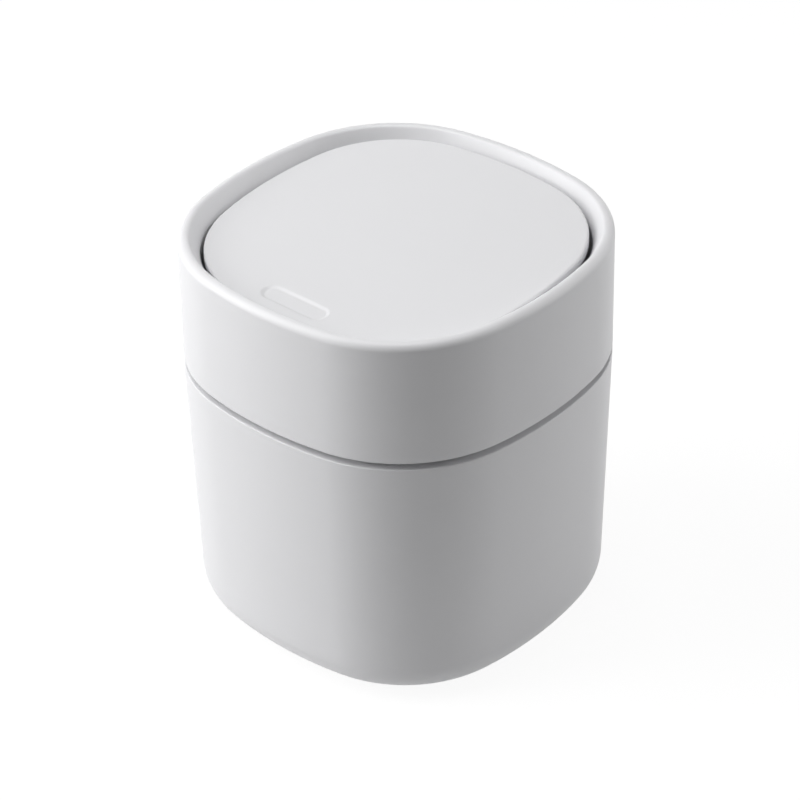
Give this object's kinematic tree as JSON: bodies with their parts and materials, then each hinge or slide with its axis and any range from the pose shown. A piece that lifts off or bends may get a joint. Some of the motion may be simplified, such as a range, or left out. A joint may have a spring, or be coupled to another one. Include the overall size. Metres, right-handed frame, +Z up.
{
  "type": "countertop push top bin",
  "caption": "Small rounded-square countertop waste bin with a lift-off head, and inside its rim a sprung flat lid with a finger dimple over a push latch",
  "frame": {"origin": "under the middle of the base, on the plane that the foot pads rest on", "axes": "+Z up; -Y front, the side with the lid's finger dimple; +Y back, the side with the hinge; +X right as seen from the front"},
  "size_m": [0.13, 0.13, 0.14],
  "materials": {
    "shell_white": "satin moulded",
    "inner_white": "matte moulded",
    "latch_grey": "smooth moulded",
    "steel": "drawn wire and plated screws",
    "foot_rubber": "soft matte"
  },
  "bodies": {
    "bin": {"bin_body": "shell_white", "foot_pads": "foot_rubber"},
    "head": {"head_shell": "shell_white", "head_frame": "inner_white", "frame_screws": "steel", "hinge_pin_left": "steel", "hinge_pin_right": "steel", "hinge_spring_left": "steel", "hinge_spring_right": "steel", "latch_housing": "inner_white", "latch_spring": "steel", "latch_guide_pin": "steel", "latch_screws": "steel"},
    "lid": {"lid_panel": "shell_white", "lid_inner": "inner_white", "latch_striker": "latch_grey", "lid_screws": "steel"},
    "latch": {"latch_slider": "latch_grey"}
  },
  "joints": [
    {"name": "head_lift", "type": "slide", "parent": "bin", "child": "head", "axis": [0, 0, 1], "range_m": [0, 0.03]},
    {"name": "lid_hinge", "type": "hinge", "parent": "head", "child": "lid", "pos_m": [0, 0.034, 0.13356], "axis": [-1, 0, 0], "range_deg": [-1.2, 70]},
    {"name": "latch_plunge", "type": "slide", "parent": "head", "child": "latch", "axis": [0, 0, 1], "range_m": [-0.0022, 0], "stiffness_N_per_m": 300, "deforming": ["latch_spring"]}
  ]
}
